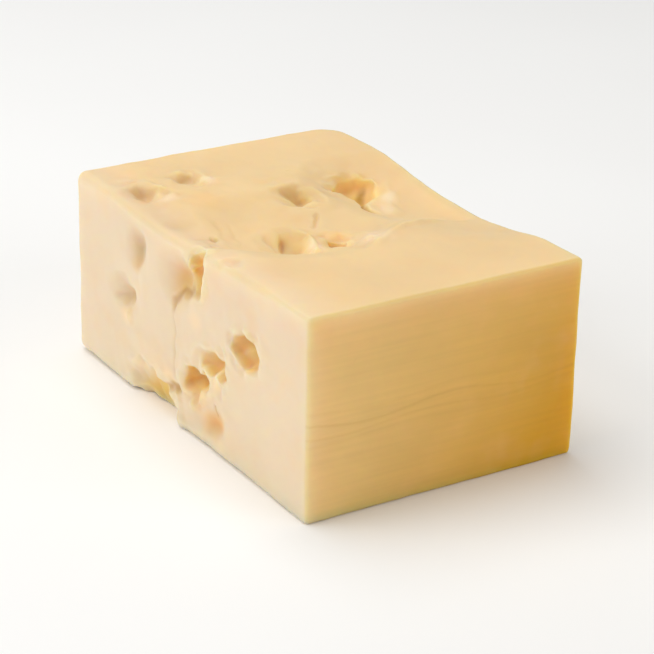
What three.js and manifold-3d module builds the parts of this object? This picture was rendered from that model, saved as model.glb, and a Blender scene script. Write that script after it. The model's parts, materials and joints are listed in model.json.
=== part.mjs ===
// A block of rindless hard cheese with gas eyes: the cut half of a rectangular loaf.
// Millimetres, +Z up. The block stands on its base, with the origin at the middle of its footprint.
// The fresh cut face looks along -Y, the loaf's own rounded end along +Y, the pitted side along -X.
import * as THREE from 'three';
import { mergeVertices } from 'three/addons/utils/BufferGeometryUtils.js';
import Module from 'manifold-3d';

// Driving dimensions.
const length = 144;
const cutWidth = 94.5;
const endWidth = 98.5;
const cutHeight = 64;
const endHeight = 62.5;

// Edge roundings: the cut leaves nearly sharp edges, the loaf's own end and sides are soft.
const cutEdgeRadius = 0.8;
const sideEdgeRadius = 2.5;
const endEdgeRadius = 3.5;
const endCornerRadius = { left: 3, right: 10 };

// Rows of the surface grid, and how strongly they gather towards the edges (0 = even rows).
const rows = { across: 14, along: 24, up: 10 };
const edgeGathering = 0.45;

// How far below a face a hollow still pulls the surface down, so that the edges follow it.
const hollowReach = 14;

// Facets of one eye, fewer on a small one, and how far its wall strays from a true ellipsoid.
const eyeDetail = { small: 2, large: 3 };
const smallEye = 5.5;
const eyeUnevenness = 0.08;

// Broad shallow hollows. `at` and `size` are in the face's own plane, x and y on the top and
// y and z on the sides: the middle and the half-axes. `depth` is measured square to the face.
// `rim` is 2 for a soft bowl and higher for a flat floor with a steep rim.
const hollows = [
  { face: 'top', at: [-14, -4], size: [32, 32], depth: 2.4, rim: 4 },
  { face: 'top', at: [49, -16], size: [40, 40], depth: 4.4, rim: 2 },
  { face: 'top', at: [30, 14], size: [26, 32], depth: 4.2, rim: 3 },
  { face: 'top', at: [-50, 8], size: [16, 46], depth: 2.4, rim: 2 },
  { face: 'top', at: [-22, -17], size: [12, 9], depth: 1.6, rim: 2 },
  { face: 'top', at: [-40, 40], size: [8, 12], depth: 1.2, rim: 2 },
  { face: 'left', at: [29, 50], size: [8, 9], depth: 1.6, rim: 2 },
  { face: 'left', at: [38, 32], size: [12, 7], depth: 1.6, rim: 2 },
  { face: 'left', at: [4, 49], size: [13, 11], depth: 2.6, rim: 2 },
  { face: 'left', at: [-17, 9.5], size: [12, 7.5], depth: 1.6, rim: 2 },
  { face: 'left', at: [27, 4], size: [11, 9], depth: 3, rim: 2 },
  { face: 'right', at: [-34, 22], size: [15, 12], depth: 1.2, rim: 2 },
  { face: 'right', at: [30, 40], size: [14, 11], depth: 1, rim: 2 },
  { face: 'end', at: [-18, 36], size: [13, 11], depth: 1.8, rim: 2 },
  { face: 'end', at: [24, 22], size: [11, 9], depth: 1.4, rim: 2 },
];

// Eyes: the gas holes that a face cuts open. `at` is the middle, `radii` the half-axes, and
// `lean` turns the eye about the x axis, in degrees.
const eyes = [
  // top
  { at: [25.8, 22.4, 57.8], radii: [7.2, 6.8, 4.6], lean: 0 },
  { at: [24.4, 17.4, 56], radii: [3.2, 5, 5], lean: 0 },
  { at: [2.2, 17.4, 62.4], radii: [3.8, 5, 3.2], lean: 0 },
  { at: [-17.4, -10, 59.8], radii: [3.8, 5.4, 3.2], lean: 0 },
  { at: [-5, -16, 59.6], radii: [2.4, 3.4, 3], lean: 0 },
  { at: [-38.8, 43, 62.2], radii: [3.4, 5, 3], lean: 0 },
  { at: [-21.8, 46.4, 62.8], radii: [2.8, 4.2, 2.8], lean: 0 },
  // left side
  { at: [-48, -8.6, 56.6], radii: [6, 4, 4.4], lean: 0 },
  { at: [-48, -7.4, 52.4], radii: [6.2, 4.8, 4], lean: 0 },
  { at: [-48, -37.6, 40], radii: [7, 6.2, 5.2], lean: 20 },
  { at: [-49.4, -17.4, 29.2], radii: [5, 6.6, 3.8], lean: -22 },
  { at: [-49.5, -23.6, 30.6], radii: [4, 2.6, 3.2], lean: 0 },
  { at: [-49, -5.8, 19.2], radii: [6.5, 6.2, 4.4], lean: -12 },
  { at: [-49.5, -13.4, 21], radii: [4, 3.4, 2.8], lean: -20 },
  { at: [-49.5, -7.4, 14.4], radii: [4, 2.8, 2.8], lean: 0 },
  { at: [-48.5, 14, 2], radii: [8, 11.5, 10], lean: 0 },
  // right side
  { at: [47, -44, 44], radii: [6, 6.5, 6], lean: 10 },
  { at: [47.5, -12, 30], radii: [6, 5, 4.5], lean: 0 },
  { at: [48, 12, 15], radii: [6.5, 6, 5], lean: -15 },
  { at: [49, 44, 47], radii: [5.5, 6, 5.5], lean: 0 },
  { at: [49, 47, 24], radii: [4.5, 4, 4], lean: 0 },
  // rounded end
  { at: [-8, 72, 21], radii: [5.5, 5.5, 5], lean: 0 },
  { at: [20, 72, 46], radii: [4.5, 5, 4.5], lean: 0 },
  // base
  { at: [-22, -34, 0.5], radii: [6, 5.5, 5], lean: 0 },
  { at: [26, 40, 0.5], radii: [6.5, 5, 5], lean: 0 },
  { at: [30, -22, 0], radii: [4, 4.5, 4], lean: 0 },
];

const mix = THREE.MathUtils.lerp;
const { clamp, degToRad, smoothstep } = THREE.MathUtils;

// Moves an even 0..1 row towards the nearer end, so that the rounded edges get close rows.
function gather(row) {
  return mix(row, 0.5 - 0.5 * Math.cos(Math.PI * row), edgeGathering);
}

// Where the two long sides and the top are at distance y along the block.
function wallsAt(y) {
  const along = y / length + 0.5;
  const left = -endWidth / 2;
  return { left, right: left + mix(cutWidth, endWidth, along), top: mix(cutHeight, endHeight, along) };
}

// Distance outside a corner where two walls meet in an arc: a and b are distances outside the walls.
function roundedCorner(a, b, radius) {
  const overA = a + radius;
  const overB = b + radius;
  return Math.hypot(Math.max(overA, 0), Math.max(overB, 0)) + Math.min(Math.max(overA, overB), 0) - radius;
}

// Distance outside the block with plain walls and rounded edges.
function outsideBlock(x, y, z) {
  const walls = wallsAt(y);
  const middle = (walls.left + walls.right) / 2;
  const overSide = Math.abs(x - middle) - (walls.right - walls.left) / 2;
  const overEnd = Math.abs(y) - length / 2;
  const overTop = Math.abs(z - walls.top / 2) - walls.top / 2;
  const endCorner = x < middle ? endCornerRadius.left : endCornerRadius.right;
  const plan = roundedCorner(overSide, overEnd, y > 0 ? endCorner : cutEdgeRadius);
  const fromCut = smoothstep(y, -length / 2, -length / 4);
  const toEnd = smoothstep(y, length / 4, length / 2);
  const edge = mix(mix(cutEdgeRadius, sideEdgeRadius, fromCut), endEdgeRadius, toEnd);
  return roundedCorner(plan, overTop, edge);
}

// Moves a point from the sharp box onto the rounded block, straight down the distance field.
function settleOnBlock(point) {
  const { x, y, z } = point;
  const step = 0.01;
  const slope = new THREE.Vector3(
    outsideBlock(x + step, y, z) - outsideBlock(x - step, y, z),
    outsideBlock(x, y + step, z) - outsideBlock(x, y - step, z),
    outsideBlock(x, y, z + step) - outsideBlock(x, y, z - step),
  );
  point.addScaledVector(slope.normalize(), -outsideBlock(x, y, z));
}

// Presses one broad hollow into the point, fading towards the hollow's rim and into the depth.
function pressHollow(point, hollow) {
  const walls = wallsAt(point.y);
  const faces = {
    top: { plane: [point.x, point.y], below: walls.top - point.z, push: [0, 0, -1] },
    left: { plane: [point.y, point.z], below: point.x - walls.left, push: [1, 0, 0] },
    right: { plane: [point.y, point.z], below: walls.right - point.x, push: [-1, 0, 0] },
    end: { plane: [point.x, point.z], below: length / 2 - point.y, push: [0, -1, 0] },
  };
  const { plane, below, push } = faces[hollow.face];
  const spread = Math.hypot(...plane.map((value, i) => (value - hollow.at[i]) / hollow.size[i]));
  if (spread >= 1) return;
  const fade = 1 - clamp(below / hollowReach, 0, 1);
  const depth = hollow.depth * (1 - spread ** hollow.rim) ** 2 * fade;
  point.addScaledVector(new THREE.Vector3(...push), depth);
}

// The block's skin before its eyes are opened: a grid on a box, carried to the block's form.
function skinGeometry() {
  const box = new THREE.BoxGeometry(1, 1, 1, rows.across, rows.along, rows.up);
  box.deleteAttribute('normal');
  box.deleteAttribute('uv');
  const skin = mergeVertices(box);
  const position = skin.getAttribute('position');
  const point = new THREE.Vector3();
  for (let i = 0; i < position.count; i++) {
    point.fromBufferAttribute(position, i);
    point.y = (gather(point.y + 0.5) - 0.5) * length;
    const walls = wallsAt(point.y);
    point.x = mix(walls.left, walls.right, gather(point.x + 0.5));
    point.z = walls.top * gather(point.z + 0.5);
    settleOnBlock(point);
    hollows.forEach((hollow) => pressHollow(point, hollow));
    position.setXYZ(i, point.x, point.y, point.z);
  }
  return skin;
}

// One eye: an ellipsoid with a slightly uneven wall.
function eyeGeometry(eye, index) {
  const detail = Math.max(...eye.radii) < smallEye ? eyeDetail.small : eyeDetail.large;
  const ball = new THREE.IcosahedronGeometry(1, detail);
  ball.deleteAttribute('normal');
  ball.deleteAttribute('uv');
  const wall = mergeVertices(ball);
  const position = wall.getAttribute('position');
  const point = new THREE.Vector3();
  for (let i = 0; i < position.count; i++) {
    point.fromBufferAttribute(position, i);
    const sway = Math.sin(3 * point.x + index) + Math.sin(4 * point.y - index) * Math.cos(3 * point.z);
    point.multiplyScalar(1 + eyeUnevenness * sway);
    position.setXYZ(i, point.x, point.y, point.z);
  }
  wall.scale(...eye.radii);
  wall.rotateX(degToRad(eye.lean));
  wall.translate(...eye.at);
  return wall;
}

const wasm = await Module();
wasm.setup();

function toSolid(geometry) {
  const vertProperties = geometry.getAttribute('position').array;
  const triVerts = Uint32Array.from(geometry.getIndex().array);
  return new wasm.Manifold(new wasm.Mesh({ numProp: 3, vertProperties, triVerts }));
}

function toGeometry(solid) {
  const { vertProperties, triVerts } = solid.getMesh();
  const geometry = new THREE.BufferGeometry();
  geometry.setAttribute('position', new THREE.BufferAttribute(vertProperties, 3));
  geometry.setIndex(new THREE.BufferAttribute(triVerts, 1));
  return geometry;
}

// The skin with every eye cut out of it, moved so that the footprint's middle is the origin.
function cheeseGeometry() {
  let solid = toSolid(skinGeometry());
  eyes.forEach((eye, index) => {
    solid = solid.subtract(toSolid(eyeGeometry(eye, index)));
  });
  const geometry = toGeometry(solid);
  geometry.computeBoundingBox();
  const { min, max } = geometry.boundingBox;
  geometry.translate(-(min.x + max.x) / 2, -(min.y + max.y) / 2, -min.z);
  geometry.computeVertexNormals();
  return geometry;
}

const paste = new THREE.MeshStandardMaterial({ color: 0xeccb97, roughness: 0.55, metalness: 0 });

const cheese = new THREE.Mesh(cheeseGeometry(), paste);
cheese.name = 'cheese_block';

const block = new THREE.Group();
block.add(cheese);

export default block;
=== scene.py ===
"""Cut block of rindless hard cheese with gas eyes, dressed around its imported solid.

Laid out as a Blender add-on and run as a script: main() builds the block and then the studio.
"""

import json
import math

import bmesh
import bpy
import numpy as np
from bpy.props import FloatProperty, FloatVectorProperty, IntProperty, PointerProperty
from bpy.types import Operator, Panel, PropertyGroup
from mathutils import Matrix, Vector, noise

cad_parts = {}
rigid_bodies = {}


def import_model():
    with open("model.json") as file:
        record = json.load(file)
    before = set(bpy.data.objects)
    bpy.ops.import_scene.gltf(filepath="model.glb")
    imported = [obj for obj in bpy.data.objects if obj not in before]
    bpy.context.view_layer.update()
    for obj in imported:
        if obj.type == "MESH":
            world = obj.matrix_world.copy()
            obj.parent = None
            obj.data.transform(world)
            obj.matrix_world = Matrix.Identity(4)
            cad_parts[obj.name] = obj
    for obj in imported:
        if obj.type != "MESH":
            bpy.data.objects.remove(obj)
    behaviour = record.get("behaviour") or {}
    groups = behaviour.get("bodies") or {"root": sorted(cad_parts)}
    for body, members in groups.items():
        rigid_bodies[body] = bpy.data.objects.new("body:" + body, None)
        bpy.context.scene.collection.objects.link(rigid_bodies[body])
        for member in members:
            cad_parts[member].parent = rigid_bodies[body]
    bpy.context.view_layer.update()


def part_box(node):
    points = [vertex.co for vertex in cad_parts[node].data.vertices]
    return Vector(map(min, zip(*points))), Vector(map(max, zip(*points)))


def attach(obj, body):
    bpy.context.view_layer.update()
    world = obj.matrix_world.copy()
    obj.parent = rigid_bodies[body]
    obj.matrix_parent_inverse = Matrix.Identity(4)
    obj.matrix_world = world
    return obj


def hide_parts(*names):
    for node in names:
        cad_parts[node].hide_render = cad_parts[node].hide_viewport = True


bl_info = {
    "name": "Cheese Block",
    "version": (1, 0, 0),
    "blender": (4, 5, 0),
    "location": "View3D > Sidebar > Cheese",
    "description": "Builds a cut block of hard cheese with gas eyes, and a pale studio around it",
    "category": "Add Mesh",
}

MM = 0.001
NODE = "cheese_block"

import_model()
LOW, HIGH = (np.array(corner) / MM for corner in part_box(NODE))
LENGTH, END_WIDTH, CUT_HEIGHT = (HIGH - LOW)[[1, 0, 2]]


# ---------------------------------------------------------------- form of the block, in mm

# The loaf narrows and rises a little towards the cut.
CUT_WIDTH = 94.5
END_HEIGHT = 62.5

# Edge roundings: the cut leaves nearly sharp edges, the loaf's own end and sides are soft.
CUT_EDGE = 0.8
SIDE_EDGE = 2.5
END_EDGE = 3.5
END_CORNER_LEFT = 3.0
END_CORNER_RIGHT = 10.0

# How far below a face a hollow still pulls the surface down, so that the edges follow it, and where
# the pull of a small detail starts and ends to fade.
HOLLOW_REACH = 14.0
DETAIL_REACH = (3.0, 10.0)

# Broad shallow hollows: face, middle and half-axes in the face's own plane (x and y on the top,
# y and z on the sides, x and z on the end), depth square to the face, and rim: 2 for a soft
# bowl, higher for a flat floor with a steep rim.
HOLLOWS = [
    ("top", (-14, -4), (32, 32), 2.4, 4),
    ("top", (49, -16), (40, 40), 4.4, 2),
    ("top", (30, 14), (26, 32), 4.2, 3),
    ("top", (-50, 8), (16, 46), 2.4, 2),
    ("top", (-22, -17), (12, 9), 1.6, 2),
    ("top", (-40, 40), (8, 12), 1.2, 2),
    ("left", (29, 50), (8, 9), 1.6, 2),
    ("left", (38, 32), (12, 7), 1.6, 2),
    ("left", (4, 49), (13, 11), 2.6, 2),
    ("left", (-17, 9.5), (12, 7.5), 1.6, 2),
    ("left", (27, 4), (11, 9), 3.0, 2),
    ("right", (-34, 22), (15, 12), 1.2, 2),
    ("right", (30, 40), (14, 11), 1.0, 2),
    ("end", (-18, 36), (13, 11), 1.8, 2),
    ("end", (24, 22), (11, 9), 1.4, 2),
]

# Eyes: the gas holes that a face cuts open. Middle, half-axes, lean about x in degrees, and how
# soft the film has pressed its rim, from 0 for a crisp one to 1 for a dimple.
EYES = [
    # top
    ((25.8, 22.4, 57.8), (7.2, 6.8, 4.6), 0, 0.7),
    ((24.4, 17.4, 56), (3.2, 5, 5), 0, 0.5),
    ((2.2, 17.4, 62.4), (3.8, 5, 3.2), 0, 1.0),
    ((-17.4, -10, 59.8), (3.8, 5.4, 3.2), 0, 1.0),
    ((-5, -16, 59.6), (2.4, 3.4, 3), 0, 1.0),
    ((-38.8, 43, 62.2), (3.4, 5, 3), 0, 1.0),
    ((-21.8, 46.4, 62.8), (2.8, 4.2, 2.8), 0, 1.0),
    # left side
    ((-48, -8.6, 56.6), (6, 4, 4.4), 0, 0.6),
    ((-48, -7.4, 52.4), (6.2, 4.8, 4), 0, 0.6),
    ((-48, -37.5, 40.8), (7, 6.8, 5.2), -6, 0.5),
    ((-49.4, -17.4, 28.6), (5, 6.6, 3.8), -8, 0.5),
    ((-49.5, -23.4, 28.6), (4, 2.8, 4.2), 0, 0.4),
    ((-49, -5.8, 19.2), (6.5, 6.2, 4.4), -12, 0.4),
    ((-49.5, -13.4, 21), (4, 3.4, 2.8), -20, 0.4),
    ((-49.5, -7.4, 15.2), (4, 2.8, 2.5), 0, 0.4),
    ((-49.5, 18, 1), (6, 14, 10.5), 0, 0.6),
    # right side
    ((47, -44, 44), (6, 6.5, 6), 10, 0.3),
    ((47.5, -12, 30), (6, 5, 4.5), 0, 0.4),
    ((48, 12, 15), (6.5, 6, 5), -15, 0.25),
    ((49, 44, 47), (5.5, 6, 5.5), 0, 0.8),
    ((49, 47, 24), (4.5, 4, 4), 0, 0.5),
    # rounded end
    ((-8, 72, 21), (5.5, 5.5, 5), 0, 0.4),
    ((20, 72, 46), (4.5, 5, 4.5), 0, 0.8),
    # base
    ((-22, -34, 0.5), (6, 5.5, 5), 0, 0.2),
    ((26, 40, 0.5), (6.5, 5, 5), 0, 0.2),
    ((30, -22, 0), (4, 4.5, 4), 0, 0.2),
]
EYE_UNEVENNESS = 0.08

# Small soft dents, where the film has drawn the skin towards an eye that lies under it. Face,
# middle and half-axes in the face's plane, lean in that plane in degrees, and depth, which is
# below 0 where the skin swells.
DENTS = [
    ("top", (-42, 14), (6, 7), 0, 0.6),
    ("top", (-45.5, -24), (3.5, 5), 0, 1.0),
    ("top", (-41.5, -5.5), (1.5, 2), 0, 0.8),
    ("top", (2.4, 18), (9, 11), 0, 1.6),
    ("top", (-19, -9.5), (10, 12), 0, 1.9),
    ("top", (-5, -15), (6, 9), 0, 1.4),
    ("top", (26, 19), (12, 13), 0, 1.6),
    ("top", (-40.5, 42), (6.5, 9), 0, 0.7),
    ("top", (-22.5, 46), (6, 7), 0, 0.6),
    ("top", (-37.6, 1.5), (1.6, 2.2), 0, 1.0),
    ("top", (-16.6, 43), (3, 4), 0, -0.5),
    ("top", (-33.7, 35), (3, 4), 0, -0.4),
    ("left", (29.5, 52), (5.5, 5.5), 0, 1.0),
    ("left", (29, 47.5), (4.5, 4.6), 0, 1.0),
    ("left", (33, 48), (5, 7), 0, 0.6),
    ("left", (38, 31), (8, 3.6), -15, 1.4),
    ("left", (34.5, 32.5), (3.6, 4.2), 0, 1.2),
    ("left", (40, 35), (6, 4), 0, 0.7),
    ("left", (35, 24.4), (3.4, 3.4), 0, -0.8),
    ("left", (25, 40), (4, 8), 0, -0.4),
    ("left", (2, 49.5), (9, 8), 0, 1.6),
    ("left", (-19, 9), (7.5, 4.8), -20, 1.0),
    ("left", (-21, 24.5), (3.5, 3), 0, -0.6),
]


def scored_line(height, sway, phase):
    """The path of a line that the wire scored right across the cut, in x and z."""
    return [(x, height + sway * math.sin(x / 9.0 + phase)) for x in range(-70, 71, 2)]


# Drawn-out marks: face, path in the face's plane, half-width, depth, which is below 0 for a ridge
# that stands up between two hollows, and how much painted shade the mark holds, from 0 to 1.
MARKS = [
    ("top", [(32, 27), (29.5, 24), (25.3, 18.6), (22, 12.5), (19.8, 5.5), (20, -2)], 2.0, 2.2, 0.9),
    ("top", [(36, 18), (30.5, 10), (27.5, 3), (25, -4)], 4.0, -0.9, 0.0),
    ("top", [(-10.3, -8), (-12.6, -14.7), (-15, -22)], 2.6, -1.3, 0.0),
    ("top", [(1.6, 5.6), (-2, 0), (-6.6, -5.6)], 1.0, 0.35, 0.2),
    ("top", [(-4, -31), (4, -25), (14, -19), (27, -16), (38, -17)], 6.0, -1.0, 0.0),
    ("top", [(5, -15), (1, -26)], 4.5, -0.9, 0.0),
    ("top", [(-45, 2), (-41, 2.6), (-37.6, 1.5)], 1.0, 0.2, 0.1),
    ("top", [(-31, 15), (-33, 4), (-37.5, -10)], 1.2, 0.14, 0.05),
    ("top", [(-28, 10.5), (-30, 2), (-34, -8.6)], 1.0, 0.12, 0.05),
    ("left", [(-12.5, 48.4), (-7, 47.8), (-3, 46.8), (2.5, 44.6), (5.6, 41), (5.6, 35)], 2.2, 0.7, 0.4),
    ("left", [(5.3, 38), (4.7, 30), (5.5, 22), (5.7, 13)], 0.8, 0.25, 0.12),
    ("left", [(15, 8), (11, 9.8), (6, 12.2), (-1, 14)], 2.2, 1.2, 0.5),
    ("left", [(-24, 32), (-25.4, 26)], 1.2, 1.0, 0.5),
    ("left", [(-19.5, 11.5), (-20, 17)], 0.9, 0.5, 0.4),
    ("cut", scored_line(33.6, 1.1, 1.2), 0.7, 0.03, 0.06),
    ("cut", scored_line(30.0, 1.5, 1.55), 0.6, 0.05, 0.18),
    ("cut", scored_line(26.8, 0.9, 2.45), 0.6, 0.04, 0.12),
    ("cut", scored_line(24.6, 0.7, 3.0), 0.7, 0.03, 0.06),
]

# Up to which share of its length a mark fades in, and from which it fades out.
MARK_TAPER = (0.15, 0.8)

# The front of the top stayed flat under the film; behind this line, in x and y, it sank this far
# within this run, rises again over the recovery, and stays up beyond these distances to the sides.
SHELF_LINE = [(-45, -10), (-38, -16), (-27, -25), (-14, -31), (-5, -34), (4, -29), (16, -22), (25, -20),
              (35, -21), (49, -24)]
SHELF_DROP = 1.8
SHELF_RUN = 5.0
SHELF_RECOVERY = (12.0, 48.0)
SHELF_SIDES = (38.0, 47.0)

# Spacing of the first skin, and how finely the balls are divided that cut the eyes.
COARSE_GRID = 1.2
EYE_DETAIL = 4

# Distances from the wall of an eye over which these fade out: its softened rim, the wandering of
# its rim, the puckered skin around it, and its bare moist wall with its painted bounce light,
# which also needs this depth.
RIM_REACH = (1.0, 4.5)
WANDER_REACH = (1.0, 4.0)
PUCKER_REACH = (2.0, 12.0)
WALL_REACH = (0.5, 2.0)
WALL_DEPTH = (0.0, 4.0)
# How much of its bare wall a dimple with the softest rim has lost to the skin.
DIMPLE_SKIN = 0.85
RIM_SMOOTHING_STEPS = 50

# Sizes of the unevenness: long waves, puckers and the wandering of outlines. Puckers are weak on
# the plain faces and stand out around the eyes. Outlines wander less and less towards the cut.
WAVE_SIZE = 14.0
PUCKER_SIZE = 5.0
WANDER_SIZE = 4.5
PLAIN_PUCKER, EYE_PUCKER = 0.4, 1.2
STEADY_BY_CUT = (0.5, 6.0)

# How far below its face a tint still shows fully, and where it ends: the top has sunk the furthest.
TINT_REACH = {"top": (10.0, 16.0), "left": (6.0, 12.0)}

# How far below its face a crease keeps its painted shade, and where that ends: on the cut it is only a
# score.
CREASE_REACH = {"top": (8.0, 14.0), "left": (8.0, 14.0), "cut": (0.6, 1.05)}

# The top's painted shade, a deeper tone for the weaker light on the top than on the lit left side:
# from which slope up it shows, as the upward part of the surface's normal, how much of it the band
# along the left edge has and how wide that is, how much of it the sides have, and the distances
# from the left side over which that comes in.
TOP_SLOPE = (0.05, 0.75)
BAND_SHADE = 0.4
BAND_WIDTH = (0.0, 18.0)
SIDE_TOP_SHADE = 0.35
SIDE_TOP_START = (5.0, 60.0)

# Painted shade that darkens the brightly lit upper edges: how deep below an upper edge it goes,
# then how wide its strip along the far left edge is, where along the block that comes in, and
# from which slope up.
EDGE_DEPTH = (2.0, 5.0)
FAR_LEFT_WIDTH = (2.0, 14.0)
FAR_LEFT_START = (-50.0, 40.0)
FAR_LEFT_SLOPE = (0.3, 0.8)

# How golden the painted shade makes the cut's right edge at the top, and how much it gains down to the
# base.
CUT_SHADE_AT_TOP = 0.66
CUT_SHADE_GAINED = 0.6

# The cut: where its face ends, how pale it is beside its top and left edges, and how far the light
# that comes in there still shows.
CUT_RIM = (0.2, 1.4)
EDGE_PALENESS = 0.6
EDGE_GLOW = 3.0

# Patches where the colour departs from that of its face: face, middle, half-axes, lean and
# strength. Pale is a painted highlight on lit ridges and slopes, peach is thin skin, gold is moist
# paste deep in an eye with painted bounce light that lifts its shade, and the dull ochre tint is
# painted shade in a dimple.
TINTS = {
    # Painted highlights on the lit ridges and slopes.
    "pale": [
        ("top", (3.5, -24.5), (8, 9.5), -20, 1.0),
        ("top", (-12.6, -15), (3.5, 8), 0, 0.9),
        ("top", (-17, 41.6), (4, 5), 0, 1.0),
        ("top", (-36, 33.5), (4.5, 5), 0, 1.0),
        ("top", (32, 11.5), (4, 8), -25, 1.0),
        ("top", (26, 3), (4, 7), -15, 0.6),
        ("left", (36.5, 24.5), (5.5, 4), 0, 1.0),
        ("left", (-20.5, 23.5), (5, 4.5), 0, 1.0),
        ("left", (-8, 39), (6, 4.5), 0, 0.6),
        ("left", (-11, 11), (5, 4), 0, 0.8),
        ("left", (9, 15), (5, 3.5), 0, 0.8),
        ("left", (27, 10.5), (8, 3), 0, 0.7),
        ("left", (-21, 4.5), (6, 4), 0, 0.6),
    ],
    "peach": [
        ("left", (-18, 9.5), (10, 6), -20, 1.0),
        ("left", (-9, 17), (12, 9), -18, 0.5),
        ("left", (-23, 13), (4, 3), 0, 0.5),
        ("left", (5, 47), (7, 9), 0, 0.5),
        ("left", (30, 44), (5, 4), 0, 0.4),
        ("top", (-43, 36.5), (4, 5), 0, 0.6),
        ("top", (-3, -12), (6, 6), 0, 0.6),
        ("top", (-26, 27), (9, 12), 0, 0.5),
    ],
    # Gold is partly moist paste deep in the eyes and partly painted bounce light that lifts the shade in
    # them.
    "gold": [
        ("left", (22, 3.5), (13, 8), 0, 0.75),
        ("left", (-39, 40), (6, 7), 0, 0.8),
        ("left", (1.5, 49), (8, 7), -15, 0.5),
        ("left", (-17, 27), (5, 5), 0, 0.2),
        ("left", (-22.5, 13), (4, 3.5), 0, 0.3),
        ("top", (28.5, 26.5), (9, 9), 0, 0.5),
        ("top", (2.4, 20), (6, 7), 0, 0.2),
    ],
    # Painted shade in the dimples and beside the eyes.
    "dimple_painted_shade": [
        ("top", (27, 22), (12, 13), 0, 0.6),
        ("top", (3, 19.4), (9, 10), 0, 0.7),
        ("top", (-16, -7.5), (9, 11), 0, 0.9),
        ("top", (-5.5, -16), (6, 6), 0, 0.4),
        ("top", (-40, 45), (6, 7), 0, 0.35),
        ("top", (-23, 45.5), (5, 6), 0, 0.6),
        ("top", (-42, 14), (6, 7), 0, 0.3),
        ("left", (30, 49), (5.5, 8), 0, 0.5),
        ("left", (37, 31.5), (7, 5), -15, 0.4),
        ("left", (-6, 52), (8.5, 10), 0, 0.6),
        ("left", (1, 48), (8, 6), 0, 0.3),
        ("left", (-16, 29), (4, 4), 0, 0.8),
        ("left", (5, 12), (7, 3), 25, 0.7),
        ("top", (-37.4, 1), (2, 2.6), 0, 0.9),
    ],
}


def blend(a, b, t):
    return a + (b - a) * t


def ramp(value, start, end):
    """0 before start, 1 after end, with a soft turn between them."""
    t = np.clip((value - start) / (end - start), 0, 1)
    return t * t * (3 - 2 * t)


def walls_at(y):
    """Where the left side, the right side and the top are at distance y along the block."""
    along = y / LENGTH + 0.5
    left = np.full_like(y, -END_WIDTH / 2)
    return left, left + blend(CUT_WIDTH, END_WIDTH, along), blend(CUT_HEIGHT, END_HEIGHT, along)


def rounded_corner(a, b, radius):
    """Distance outside two walls that meet in an arc, from the distances outside each wall."""
    over_a = a + radius
    over_b = b + radius
    outside = np.hypot(np.maximum(over_a, 0), np.maximum(over_b, 0))
    return outside + np.minimum(np.maximum(over_a, over_b), 0) - radius


def outside_block(points):
    """Distance of each point outside the plain block with rounded edges."""
    x, y, z = points.T
    left, right, top = walls_at(y)
    middle = (left + right) / 2
    end_corner = np.where(x < middle, END_CORNER_LEFT, END_CORNER_RIGHT)
    corner = np.where(y > 0, end_corner, CUT_EDGE)
    plan = rounded_corner(np.abs(x - middle) - (right - left) / 2, np.abs(y) - LENGTH / 2, corner)
    from_cut = ramp(y, -LENGTH / 2, -LENGTH / 4)
    to_end = ramp(y, LENGTH / 4, LENGTH / 2)
    edge = blend(blend(CUT_EDGE, SIDE_EDGE, from_cut), END_EDGE, to_end)
    return rounded_corner(plan, np.abs(z - top / 2) - top / 2, edge)


def settle_on_block(points):
    """Moves points from a sharp box onto the rounded block, straight down its distance field."""
    step = 0.01
    slope = np.empty_like(points)
    for axis in range(3):
        shift = np.zeros(3)
        shift[axis] = step
        slope[:, axis] = outside_block(points + shift) - outside_block(points - shift)
    slope /= np.linalg.norm(slope, axis=1, keepdims=True)
    return points - slope * outside_block(points)[:, None]


def face_frame(points, face):
    """The two plane coordinates, the depth below a face, and the inward direction of that face."""
    x, y, z = points.T
    left, right, top = walls_at(y)
    return {
        "top": (x, y, top - z, (0, 0, -1)),
        "left": (y, z, x - left, (1, 0, 0)),
        "right": (y, z, right - x, (-1, 0, 0)),
        "end": (x, z, LENGTH / 2 - y, (0, -1, 0)),
        "cut": (x, z, LENGTH / 2 + y, (0, 1, 0)),
    }[face]


def press_hollow(points, face, middle, half_axes, depth, rim):
    """Presses one broad hollow into the points, fading to its rim and into the depth."""
    a, b, below, inward = face_frame(points, face)
    spread = np.hypot((a - middle[0]) / half_axes[0], (b - middle[1]) / half_axes[1])
    fade = 1 - np.clip(below / HOLLOW_REACH, 0, 1)
    amount = depth * np.clip(1 - spread**rim, 0, 1) ** 2 * fade
    return points + amount[:, None] * np.array(inward)


def dent_amount(a, b, middle, half_axes, lean):
    """1 in the middle of a dent, falling softly to 0 at its rim."""
    turn = math.radians(lean)
    along = (a - middle[0]) * math.cos(turn) + (b - middle[1]) * math.sin(turn)
    across = (b - middle[1]) * math.cos(turn) - (a - middle[0]) * math.sin(turn)
    return np.clip(1 - (along / half_axes[0]) ** 2 - (across / half_axes[1]) ** 2, 0, 1) ** 2


def mark_amount(a, b, path, half_width):
    """1 along a path, falling softly to 0 at the half-width on each side and at both ends."""
    nearest = np.full(len(a), np.inf)
    reached = np.zeros(len(a))
    for number, ((a0, b0), (a1, b1)) in enumerate(zip(path, path[1:])):
        run = math.hypot(a1 - a0, b1 - b0)
        share = np.clip(((a - a0) * (a1 - a0) + (b - b0) * (b1 - b0)) / run**2, 0, 1)
        gap = np.hypot(a - blend(a0, a1, share), b - blend(b0, b1, share))
        reached = np.where(gap < nearest, (number + share) / (len(path) - 1), reached)
        nearest = np.minimum(nearest, gap)
    fade_in, fade_out = MARK_TAPER
    tapered = ramp(reached, 0, fade_in) * (1 - ramp(reached, fade_out, 1))
    return np.clip(1 - (nearest / half_width) ** 2, 0, 1) ** 2 * tapered


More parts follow.
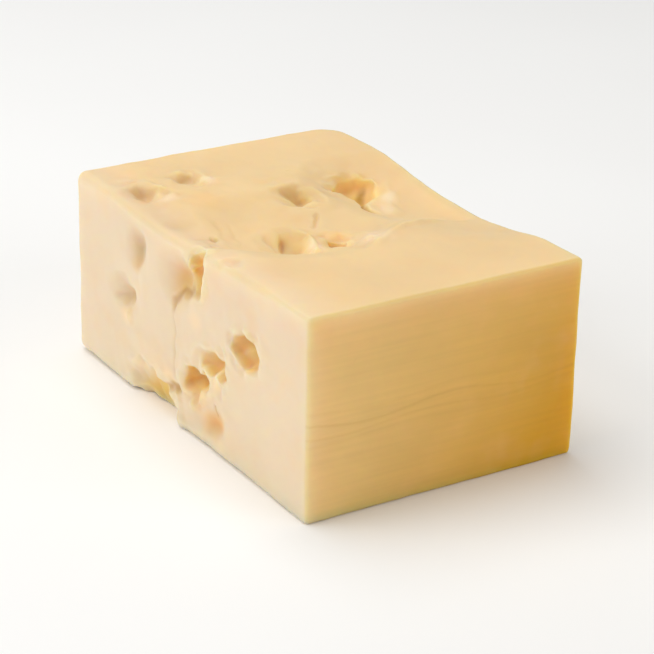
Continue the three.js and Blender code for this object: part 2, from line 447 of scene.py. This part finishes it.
def press_shelf(points):
    """Lets the top sink behind the shelf line, steeply at first and then rising slowly again."""
    x, y, below, inward = face_frame(points, "top")
    behind = y - np.interp(x, *zip(*SHELF_LINE))
    sunk = ramp(behind, 0, SHELF_RUN) * (1 - ramp(behind, *SHELF_RECOVERY))
    at_sides = 1 - ramp(np.abs(x), *SHELF_SIDES)
    amount = SHELF_DROP * sunk * at_sides * (1 - ramp(below, *DETAIL_REACH))
    return points + amount[:, None] * np.array(inward)


def press_details(points, sway):
    """Presses the small dents and marks, whose outlines wander by `sway`, into their own face."""
    points = press_shelf(points)
    marks = [mark[:-1] for mark in MARKS]
    for shape, details in ((dent_amount, DENTS), (mark_amount, marks)):
        for face, *form, depth in details:
            a, b, below, inward = face_frame(points + sway, face)
            amount = depth * shape(a, b, *form) * (1 - ramp(below, *DETAIL_REACH))
            points = points + amount[:, None] * np.array(inward)
    return points


# ---------------------------------------------------------------- meshes


def read_points(mesh):
    flat = np.empty(len(mesh.vertices) * 3, np.float32)
    mesh.vertices.foreach_get("co", flat)
    return flat.reshape(-1, 3).astype(float) / MM


def write_points(mesh, points):
    mesh.vertices.foreach_set("co", (points * MM).astype(np.float32).ravel())
    mesh.update()


def write_mask(mesh, name, values):
    mask = mesh.attributes.new(name, "FLOAT", "POINT")
    mask.data.foreach_set("value", values.astype(np.float32))


def place(name, mesh):
    piece = bpy.data.objects.new(name, mesh)
    bpy.context.scene.collection.objects.link(piece)
    return piece


def bake_modifiers(piece):
    """Turns the piece's modifiers into its own mesh."""
    depsgraph = bpy.context.evaluated_depsgraph_get()
    mesh = bpy.data.meshes.new_from_object(piece.evaluated_get(depsgraph))
    piece.modifiers.clear()
    old = piece.data
    piece.data = mesh
    bpy.data.meshes.remove(old)
    mesh.name = piece.name


def remesh(piece, voxel):
    modifier = piece.modifiers.new("Even skin", "REMESH")
    modifier.mode = "VOXEL"
    modifier.voxel_size = voxel
    bake_modifiers(piece)


def soften_rims(piece):
    """Rounds the rims of the eyes, each as far as its own softness says."""
    group = piece.vertex_groups.new(name="rims")
    for index, weight in enumerate(rim_softness(read_points(piece.data))):
        if weight > 0:
            group.add([index], float(weight), "REPLACE")
    modifier = piece.modifiers.new("Soft rims", "SMOOTH")
    modifier.vertex_group = "rims"
    modifier.factor = 0.5
    modifier.iterations = RIM_SMOOTHING_STEPS
    bake_modifiers(piece)
    piece.vertex_groups.clear()


def box_mesh(name):
    """A sharp box around the block's walls, the start of its skin."""
    mesh = bpy.data.meshes.new(name)
    form = bmesh.new()
    bmesh.ops.create_cube(form, size=1.0)
    for corner in form.verts:
        y = math.copysign(LENGTH / 2, corner.co.y)
        left, right, top = (float(wall[0]) for wall in walls_at(np.array([y])))
        corner.co = Vector((left if corner.co.x < 0 else right, y, 0 if corner.co.z < 0 else top)) * MM
    form.to_mesh(mesh)
    form.free()
    return mesh


def eye_object(number, middle, half_axes, lean):
    """One eye: an ellipsoid with a slightly uneven wall, ready to be cut out."""
    mesh = bpy.data.meshes.new(f"eye_{number}")
    form = bmesh.new()
    bmesh.ops.create_icosphere(form, subdivisions=EYE_DETAIL, radius=1.0)
    for vertex in form.verts:
        x, y, z = vertex.co
        sway = math.sin(3 * x + number) + math.sin(4 * y - number) * math.cos(3 * z)
        vertex.co *= 1 + EYE_UNEVENNESS * sway
    turn = Matrix.Rotation(math.radians(lean), 4, "X")
    spread = Matrix.Diagonal((*half_axes, 1))
    seat = Matrix.Scale(MM, 4) @ Matrix.Translation(middle) @ turn @ spread
    bmesh.ops.transform(form, matrix=seat, verts=form.verts)
    form.to_mesh(mesh)
    form.free()
    return bpy.data.objects.new(f"eye_{number}", mesh)


def cut_eyes(piece):
    """Cuts every eye out of the piece."""
    gathering = bpy.data.collections.new("eyes")
    bpy.context.scene.collection.children.link(gathering)
    for number, (middle, half_axes, lean, _) in enumerate(EYES):
        gathering.objects.link(eye_object(number, middle, half_axes, lean))
    cut = piece.modifiers.new("Eyes", "BOOLEAN")
    cut.operation = "DIFFERENCE"
    cut.operand_type = "COLLECTION"
    cut.collection = gathering
    cut.solver = "MANIFOLD"
    bake_modifiers(piece)
    for eye in list(gathering.objects):
        mesh = eye.data
        bpy.data.objects.remove(eye)
        bpy.data.meshes.remove(mesh)
    bpy.data.collections.remove(gathering)


def eye_gap(points, middle, half_axes, lean):
    """About how far each point is from the wall of one eye, less than 0 inside it."""
    turn = np.array(Matrix.Rotation(math.radians(-lean), 3, "X"))
    local = (points - middle) @ turn.T / half_axes
    return (np.linalg.norm(local, axis=1) - 1) * min(half_axes)


def rim_softness(points):
    """How strongly the film has rounded each point, from the nearest eye's softness."""
    soft = np.zeros(len(points))
    for middle, half_axes, lean, softness in EYES:
        gap = eye_gap(points, middle, half_axes, lean)
        soft = np.maximum(soft, softness * (1 - ramp(gap, *RIM_REACH)))
    return soft


def near_eye(points, start, end):
    """1 on the walls of the eyes and up to `start` from them, falling to 0 at `end`."""
    near = np.zeros(len(points))
    for middle, half_axes, lean, _ in EYES:
        near = np.maximum(near, 1 - ramp(eye_gap(points, middle, half_axes, lean), start, end))
    return near


def eye_wall_and_bounce_mask(points, pressed):
    """1 on the bare walls of the eyes, whose tone is partly moist paste and partly painted bounce light
    that grows with depth, less on their rims and in dimples, where the skin goes on.
    """
    near = np.zeros(len(points))
    for middle, half_axes, lean, softness in EYES:
        bare = 1 - DIMPLE_SKIN * softness**2
        gap = eye_gap(points, middle, half_axes, lean)
        near = np.maximum(near, bare * (1 - ramp(gap, *WALL_REACH)))
    return near * ramp(-outside_block(points) - pressed, *WALL_DEPTH)


def tint_mask(points, patches):
    """1 where a tint shows fully."""
    strongest = np.zeros(len(points))
    for face, *form, strength in patches:
        a, b, below, _ = face_frame(points, face)
        shown = strength * dent_amount(a, b, *form) * (1 - ramp(below, *TINT_REACH[face]))
        strongest = np.maximum(strongest, shown)
    return strongest


def top_painted_shade_mask(points, normals):
    """Painted shade of the top: 1 on upward faces, less in a band along the lit left side, and a little on
    the sides.
    """
    from_left = points[:, 0] + END_WIDTH / 2
    band = blend(BAND_SHADE, 1.0, ramp(from_left, *BAND_WIDTH))
    on_top = ramp(normals[:, 2], *TOP_SLOPE) * band
    return np.maximum(on_top, SIDE_TOP_SHADE * ramp(from_left, *SIDE_TOP_START))


def edge_painted_shade_mask(points, normals):
    """1 where painted shade darkens the skin: where it turns over an upper edge and catches the most
    light, and on the far left edge.
    """
    up = np.clip(normals[:, 2], 0, 1)
    turning = 2 * up * np.sqrt(1 - up**2) * (1 - ramp(-outside_block(points), *EDGE_DEPTH))
    from_left = points[:, 0] + END_WIDTH / 2
    far_left = (1 - ramp(from_left, *FAR_LEFT_WIDTH)) * ramp(points[:, 1], *FAR_LEFT_START)
    return np.maximum(turning, far_left * ramp(up, *FAR_LEFT_SLOPE))


def cut_painted_shade_mask(points):
    """Painted shade on the cut: palest along the lit left, deepest and most golden in the lower right
    corner.
    """
    across = points[:, 0] / CUT_WIDTH + 0.5
    down = 1 - points[:, 2] / CUT_HEIGHT
    return np.clip(across * (CUT_SHADE_AT_TOP + CUT_SHADE_GAINED * down), 0, 1)


def cut_mask(points):
    """1 on the cut face, paler beside its top and left edges, where light comes through."""
    from_top = CUT_HEIGHT - points[:, 2]
    from_left = points[:, 0] + END_WIDTH / 2
    glow = np.exp(-np.minimum(from_top, from_left) / EDGE_GLOW)
    return (1 - ramp(points[:, 1] + LENGTH / 2, *CUT_RIM)) * (1 - EDGE_PALENESS * glow)


def crease_painted_shade_mask(points):
    """How much painted shade the drawn-out marks lay on each point."""
    darkest = np.zeros(len(points))
    for face, path, half_width, _, tone in MARKS:
        a, b, below, _ = face_frame(points, face)
        shown = tone * mark_amount(a, b, path, half_width) * (1 - ramp(below, *CREASE_REACH[face]))
        darkest = np.maximum(darkest, shown)
    return darkest


def pressed_depth(points):
    """How far below the plain block the broad hollows have brought each point."""
    sunk = np.zeros(len(points))
    for hollow in HOLLOWS:
        sunk += np.linalg.norm(press_hollow(points, *hollow) - points, axis=1)
    return sunk


def uneven(points, size, seed):
    """Soft random values around 0, one for each point, that change over `size` mm."""
    shift = Vector((seed * 7.3, seed * 3.1, seed * 5.7))
    return np.array([noise.noise(Vector(point) / size + shift) for point in points])


def wander(points, reach):
    """A soft random shift of up to `reach` for each point, and none on the cut."""
    shift = np.stack([uneven(points, WANDER_SIZE, seed) for seed in (3, 4, 5)], axis=1)
    return reach * shift * ramp(points[:, 1] + LENGTH / 2, *STEADY_BY_CUT)[:, None]


def outward(piece):
    normals = np.empty(len(piece.data.vertices) * 3, np.float32)
    piece.data.vertex_normals.foreach_get("vector", normals)
    return normals.reshape(-1, 3).astype(float)


# ---------------------------------------------------------------- materials

# Sizes in metres of what the shaders draw: clouds, blushes and curd, and the wire's streaks.
CLOUD_SIZE = 0.030
BLUSH_SIZE = 0.012
CURD_SIZE = 0.0025
CURD_RELIEF = 0.12 * MM
STREAK_LENGTH = 0.040
STREAK_HEIGHT = 0.0015
# How far light sinks into the cheese, how satin its skin is, and how much painted shade darkens the lit
# edges.
LIGHT_DEPTH = 9.0 * MM
SKIN_ROUGHNESS = 0.5
EDGE_PAINTED_SHADE = 0.11


def linear(hex_colour):
    """An sRGB hex colour as linear red, green, blue and alpha."""
    channels = [int(hex_colour[i:i + 2], 16) / 255 for i in (1, 3, 5)]
    return (*(c / 12.92 if c <= 0.04045 else ((c + 0.055) / 1.055) ** 2.4 for c in channels), 1.0)


def new_material(name):
    material = bpy.data.materials.new(name)
    material.use_nodes = True
    material.node_tree.nodes.clear()
    return material


def add_node(material, kind, settings=None, inputs=None, links=None):
    """Adds one node: settings are its properties, inputs its socket values, links its sources."""
    node = material.node_tree.nodes.new(kind)
    for name, value in (settings or {}).items():
        setattr(node, name, value)
    for name, value in (inputs or {}).items():
        node.inputs[name].default_value = value
    for name, source in (links or {}).items():
        material.node_tree.links.new(source, node.inputs[name])
    return node


def cheese_material(block):
    """Hard cheese, pressed in film on its outer faces and wire-cut at one end.

    The pressed skin is pale and satin, the fresh cut and the eye walls are deeper and moister,
    and light sinks a few millimetres into all of it, which makes the edges glow. Part of the colour
    is painted light: shade on the top, the upper edges, the cut's lower right, the dimples and the
    creases, highlights on the lit ridges, and bounce light in the deep eyes.
    """
    material = new_material("hard_cheese_pressed_and_wire_cut")
    place_on = add_node(material, "ShaderNodeTexCoord").outputs["Object"]
    masks = {name: add_node(material, "ShaderNodeAttribute", {"attribute_name": name}).outputs["Fac"]
             for name in ("top_painted_shade", "edge", "cut_face", "golden", "pale", "peach", "dimple_painted_shade", "gold",
                          "crease", "eye_wall_and_bounce")}

    # Clouding of the paste over about 30 mm, peach blushes of about 12 mm, and curd of 2.5 mm.
    cloud = add_node(material, "ShaderNodeTexNoise", {}, {"Scale": 1 / CLOUD_SIZE, "Detail": 2.0},
                     {"Vector": place_on}).outputs["Fac"]
    patches = add_node(material, "ShaderNodeTexNoise", {"noise_dimensions": "4D"},
                       {"Scale": 1 / BLUSH_SIZE, "Detail": 2.0, "W": 3.0},
                       {"Vector": place_on}).outputs["Fac"]
    curd = add_node(material, "ShaderNodeTexNoise", {}, {"Scale": 1 / CURD_SIZE, "Detail": 3.0},
                    {"Vector": place_on}).outputs["Fac"]

    # The pale skin of the sides, over it the top's deeper tone, which is painted shade, and then the
    # wire-cut paste, which deepens in painted shade from its left edge to its lower right corner.
    tone = add_node(material, "ShaderNodeMix", {"data_type": "RGBA"},
                    {"A": block.side_skin, "B": block.top_painted_shade},
                    {"Factor": masks["top_painted_shade"]}).outputs["Result"]
    paste = add_node(material, "ShaderNodeMix", {"data_type": "RGBA"},
                     {"A": block.pale_lit_paste, "B": block.golden_shaded_paste},
                     {"Factor": masks["golden"]}).outputs["Result"]
    tone = add_node(material, "ShaderNodeMix", {"data_type": "RGBA"}, {},
                    {"Factor": masks["cut_face"], "A": tone, "B": paste}).outputs["Result"]
    # Painted highlights on the lit ridges, thin skin, painted shade in the dimples, the bare walls of the
    # eyes and the moist paste, both partly painted bounce light, and painted shade in the creases.
    for mask, tint in (("pale", block.painted_highlight_tone), ("peach", block.peach), ("dimple_painted_shade", block.dimple_painted_shade),
                       ("eye_wall_and_bounce", block.eye_wall_and_bounce), ("gold", block.gold), ("crease", block.crease)):
        tone = add_node(material, "ShaderNodeMix", {"data_type": "RGBA"}, {"B": tint},
                        {"Factor": masks[mask], "A": tone}).outputs["Result"]
    # Faint peach blushes break up the plain faces.
    blushing = add_node(material, "ShaderNodeMapRange", {},
                        {"From Min": 0.5, "From Max": 0.75, "To Max": 0.2}, {"Value": patches})
    tone = add_node(material, "ShaderNodeMix", {"data_type": "RGBA"}, {"B": block.peach},
                    {"Factor": blushing.outputs["Result"], "A": tone}).outputs["Result"]
    # Uneven ripening: soft clouds, from 4 % darker to 3 % lighter.
    lightness = add_node(material, "ShaderNodeMapRange", {},
                         {"From Min": 0.25, "From Max": 0.75, "To Min": 0.96, "To Max": 1.03},
                         {"Value": cloud})
    # The wire has drawn the cut into level streaks, about 1.5 mm high and 40 mm long.
    along_wire = add_node(material, "ShaderNodeMapping", {"vector_type": "POINT"},
                          {"Scale": (1 / STREAK_LENGTH, 1 / STREAK_LENGTH, 1 / STREAK_HEIGHT)},
                          {"Vector": place_on})
    streaks = add_node(material, "ShaderNodeTexNoise", {}, {"Scale": 1.0, "Detail": 1.0},
                       {"Vector": along_wire.outputs["Vector"]}).outputs["Fac"]
    streaked = add_node(material, "ShaderNodeMapRange", {},
                        {"From Min": 0.3, "From Max": 0.7, "To Min": -0.02, "To Max": 0.02},
                        {"Value": streaks})
    drawn = add_node(material, "ShaderNodeMath", {"operation": "MULTIPLY_ADD"}, {},
                     {0: masks["cut_face"], 1: streaked.outputs["Result"], 2: lightness.outputs["Result"]})
    # Painted shade makes the brightly lit upper edges a tone darker.
    dense = add_node(material, "ShaderNodeMath", {"operation": "MULTIPLY_ADD"}, {1: -EDGE_PAINTED_SHADE},
                     {0: masks["edge"], 2: drawn.outputs["Value"]})
    tone = add_node(material, "ShaderNodeHueSaturation", {}, {},
                    {"Value": dense.outputs["Value"], "Color": tone}).outputs["Color"]

    # A barely visible grain of curd, a satin sheen, and light that sinks in, red the furthest.
    bump = add_node(material, "ShaderNodeBump", {}, {"Strength": 0.2, "Distance": CURD_RELIEF},
                    {"Height": curd})
    surface = add_node(material, "ShaderNodeBsdfPrincipled", {"subsurface_method": "RANDOM_WALK"},
                       {"Roughness": SKIN_ROUGHNESS, "Subsurface Weight": 1.0,
                        "Subsurface Scale": LIGHT_DEPTH, "Subsurface Radius": (1.0, 0.75, 0.35),
                        "IOR": 1.45, "Specular IOR Level": 0.35},
                       {"Base Color": tone, "Normal": bump.outputs["Normal"]})
    add_node(material, "ShaderNodeOutputMaterial", {}, {}, {"Surface": surface.outputs["BSDF"]})
    return material


def studio_floor_material(studio):
    """Matt pale board: nearly white, with a faint soft clouding and no gloss."""
    material = new_material("studio_board_matt_painted")
    place_on = add_node(material, "ShaderNodeTexCoord").outputs["Object"]
    cloud = add_node(material, "ShaderNodeTexNoise", {}, {"Scale": 6.0, "Detail": 2.0},
                     {"Vector": place_on})
    tone = add_node(material, "ShaderNodeMix", {"data_type": "RGBA"},
                    {"A": studio.floor_shade, "B": studio.floor_pale},
                    {"Factor": cloud.outputs["Fac"]})
    surface = add_node(material, "ShaderNodeBsdfPrincipled", {},
                       {"Roughness": 0.9, "Specular IOR Level": 0.2},
                       {"Base Color": tone.outputs["Result"]})
    add_node(material, "ShaderNodeOutputMaterial", {}, {}, {"Surface": surface.outputs["BSDF"]})
    return material


# ---------------------------------------------------------------- settings


def colour(name, default, description):
    """A colour setting whose default is an sRGB hex value."""
    return FloatVectorProperty(name=name, description=description, default=linear(default), size=4,
                               min=0.0, max=1.0, subtype="COLOR")


class CheeseBlockSettings(PropertyGroup):
    """Sizes and colours of the block."""

    voxel: FloatProperty(
        name="Skin grid", description="Spacing of the finished skin before it is thinned",
        default=0.5 * MM, min=0.3 * MM, max=2 * MM, unit="LENGTH", precision=5,
    )
    face_limit: IntProperty(
        name="Most triangles", description="The finished mesh is thinned to this many triangles",
        default=190000, min=10000, max=199000,
    )
    waviness: FloatProperty(
        name="Waviness", description="How far the pressed faces wander from flat",
        default=0.25 * MM, unit="LENGTH", precision=5,
    )
    rim_waviness: FloatProperty(
        name="Rim waviness", description="How far the rims of the eyes and dents wander",
        default=1.4 * MM, unit="LENGTH", precision=5,
    )
    side_skin: colour("Side skin", "#F0DABA", "The pale pressed skin of the sides")
    # Painted shade: the top's deeper tone stands in for the weaker light on the top.
    top_painted_shade: colour("Top skin", "#F2D19C", "The pressed skin of the top, a little deeper")
    # The cut's paste is deeper than the skin, and painted shade grades it from pale on its lit left to
    # golden in its shaded lower right.
    pale_lit_paste: colour("Pale cut", "#F0CD88", "The fresh cut along its paler side")
    golden_shaded_paste: colour("Golden cut", "#DCA41E", "The fresh cut where the paste is deepest")
    # Painted highlight on the lit ridges and slopes.
    painted_highlight_tone: colour("Pale skin", "#FDDFB8", "Dry thick skin on the ridges")
    peach: colour("Peach", "#F8C684", "Thin skin with the paste behind it")
    # Painted shade in a dimple.
    dimple_painted_shade: colour("Ochre", "#DCB97A", "Duller paste that shows in a dimple")
    # Partly moist paste, partly painted bounce light in the shaded eyes.
    gold: colour("Gold", "#EDBB54", "Moist paste that shows deep in an eye")
    # Painted shade at the bottom of a crease and along the scored lines.
    crease: colour("Crease", "#C08C30", "The bottom of a fine crease")
    # Partly the moist paste of the eye walls, partly painted bounce light that grows with depth.
    eye_wall_and_bounce: colour("Eye wall", "#FCDA90", "The moist wall deep in an eye")


class CheeseStudioSettings(PropertyGroup):
    """Floor, light and camera around the block."""

    floor_pale: colour("Pale floor", "#FCFCFA", "Lightest tone of the studio board")
    floor_shade: colour("Floor shade", "#F8F7F5", "Darkest tone of the studio board")
    azimuth: FloatProperty(
        name="Camera azimuth", description="0 looks along +Y, positive turns towards -X",
        default=math.radians(-32.4), subtype="ANGLE",
    )
    elevation: FloatProperty(
        name="Camera elevation", description="How far the camera looks down",
        default=math.radians(23.4), subtype="ANGLE",
    )
    roll: FloatProperty(
        name="Camera roll", description="How far the camera leans",
        default=math.radians(1.3), subtype="ANGLE",
    )
    distance: FloatProperty(
        name="Camera distance", description="From the camera to the point that it aims at",
        default=729 * MM, unit="LENGTH",
    )
    lens: FloatProperty(
        name="Lens", description="Focal length in mm on a 36 mm sensor", default=128.3,
    )


# ---------------------------------------------------------------- operators

# The floor, and the soft square lights: name, direction from the block, distance and size in
# metres, watts and colour. The air adds an even white light of this strength.
FLOOR_RADIUS = 4.0
LIGHTS = [
    ("left_key", (-1.0, 0.25, 0.7), 1.2, 0.8, 5.0, "#FFFFFF"),
    ("overhead_soft", (-0.1, 0.3, 1.0), 1.3, 1.0, 8.9, "#FFFFFF"),
    ("right_fill", (0.6, -1.0, 0.45), 1.4, 0.8, 4.25, "#FFFDFA"),
]
AIR_STRENGTH = 0.35

# The point that the camera aims at and its sensor's width, both in mm.
AIM = (0.3, -3.6, 25.4)
SENSOR_WIDTH = 36.0


class CHEESE_OT_block(Operator):
    """Build the cheese block: pressed skin, wire-cut end and gas eyes"""

    bl_idname = "cheese.block"
    bl_label = "Cheese block"

    def execute(self, context):
        block = context.scene.cheese_block
        piece = place("cheese_with_eyes", box_mesh("cheese_with_eyes"))
        remesh(piece, COARSE_GRID * MM)
        points = settle_on_block(read_points(piece.data))
        for hollow in HOLLOWS:
            points = press_hollow(points, *hollow)
        write_points(piece.data, points)
        cut_eyes(piece)
        remesh(piece, block.voxel)
        soften_rims(piece)
        points = read_points(piece.data)
        sway = wander(points, block.rim_waviness / MM)
        near = near_eye(points, *WANDER_REACH)
        puckered = PLAIN_PUCKER + EYE_PUCKER * near_eye(points, *PUCKER_REACH)
        points = press_details(points, sway) + sway * near[:, None]
        waves = uneven(points, WAVE_SIZE, 1) + puckered * uneven(points, PUCKER_SIZE, 2)
        points += outward(piece) * (block.waviness / MM * waves)[:, None]
        points[:, 2] = np.maximum(points[:, 2], 0)
        write_points(piece.data, points)

        thin = piece.modifiers.new("Thin", "DECIMATE")
        thin.ratio = min(1.0, block.face_limit / (2 * len(piece.data.polygons)))
        bake_modifiers(piece)
        points = read_points(piece.data)
        write_mask(piece.data, "top_painted_shade", top_painted_shade_mask(points, outward(piece)))
        write_mask(piece.data, "edge", edge_painted_shade_mask(points, outward(piece)))
        write_mask(piece.data, "cut_face", cut_mask(points))
        write_mask(piece.data, "golden", cut_painted_shade_mask(points))
        for tint, patches in TINTS.items():
            write_mask(piece.data, tint, tint_mask(points, patches))
        sway = wander(points, block.rim_waviness / MM)
        write_mask(piece.data, "crease", crease_painted_shade_mask(points + sway))
        write_mask(piece.data, "eye_wall_and_bounce", eye_wall_and_bounce_mask(points, pressed_depth(points)))
        piece.data.shade_smooth()
        piece.data.materials.clear()
        piece.data.materials.append(cheese_material(block))

        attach(piece, "root")
        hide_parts(NODE)
        return {"FINISHED"}


def area_light(name, towards, distance, size, power, hex_colour):
    """A soft square light that looks at the block from the direction `towards`."""
    lamp = bpy.data.lights.new(name, "AREA")
    lamp.shape = "SQUARE"
    lamp.size = size
    lamp.energy = power
    lamp.color = linear(hex_colour)[:3]
    light = place(name, lamp)
    direction = Vector(towards).normalized()
    light.location = direction * distance + Vector((0, 0, CUT_HEIGHT / 2 * MM))
    light.rotation_euler = direction.to_track_quat("Z", "Y").to_euler()
    return light


class CHEESE_OT_studio(Operator):
    """Build the studio: pale floor, soft lights and the camera"""

    bl_idname = "cheese.studio"
    bl_label = "Pale studio"

    def execute(self, context):
        studio = context.scene.cheese_studio
        mesh = bpy.data.meshes.new("studio_floor")
        form = bmesh.new()
        bmesh.ops.create_circle(form, cap_ends=True, segments=64, radius=FLOOR_RADIUS)
        form.to_mesh(mesh)
        form.free()
        floor = place("studio_floor", mesh)
        mesh.materials.append(studio_floor_material(studio))

        for light in LIGHTS:
            area_light(*light)

        world = bpy.data.worlds.new("studio_air")
        world.use_nodes = True
        air = world.node_tree.nodes["Background"]
        air.inputs["Color"].default_value = linear("#FFFFFF")
        air.inputs["Strength"].default_value = AIR_STRENGTH
        context.scene.world = world

        camera = bpy.data.cameras.new("studio_camera")
        camera.lens = studio.lens
        camera.sensor_width = SENSOR_WIDTH
        camera.clip_start = 0.01
        eye = place("studio_camera", camera)
        around, down = studio.azimuth, studio.elevation
        back = Vector((math.sin(around) * math.cos(down), -math.cos(around) * math.cos(down),
                       math.sin(down)))
        aim = Vector(AIM) * MM
        level = back.to_track_quat("Z", "Y").to_matrix().to_4x4()
        eye.matrix_world = (Matrix.Translation(aim + back * studio.distance) @ level
                            @ Matrix.Rotation(studio.roll, 4, "Z"))
        context.scene.camera = eye
        context.scene.view_settings.view_transform = "Standard"
        return {"FINISHED"}


class CHEESE_PT_panel(Panel):
    """Lists what the add-on builds, with its settings"""

    bl_idname = "CHEESE_PT_panel"
    bl_label = "Cheese block"
    bl_space_type = "VIEW_3D"
    bl_region_type = "UI"
    bl_category = "Cheese"

    def draw(self, context):
        for settings, operator in (
            (context.scene.cheese_block, CHEESE_OT_block),
            (context.scene.cheese_studio, CHEESE_OT_studio),
        ):
            box = self.layout.box()
            box.operator(operator.bl_idname)
            for name in type(settings).__annotations__:
                box.prop(settings, name)


CLASSES = (CheeseBlockSettings, CheeseStudioSettings, CHEESE_OT_block, CHEESE_OT_studio, CHEESE_PT_panel)


def register():
    for cls in CLASSES:
        bpy.utils.register_class(cls)
    bpy.types.Scene.cheese_block = PointerProperty(type=CheeseBlockSettings)
    bpy.types.Scene.cheese_studio = PointerProperty(type=CheeseStudioSettings)


def unregister():
    del bpy.types.Scene.cheese_studio
    del bpy.types.Scene.cheese_block
    for cls in reversed(CLASSES):
        bpy.utils.unregister_class(cls)


def main():
    register()
    bpy.ops.cheese.block()
    bpy.ops.cheese.studio()


if __name__ == "__main__":
    main()
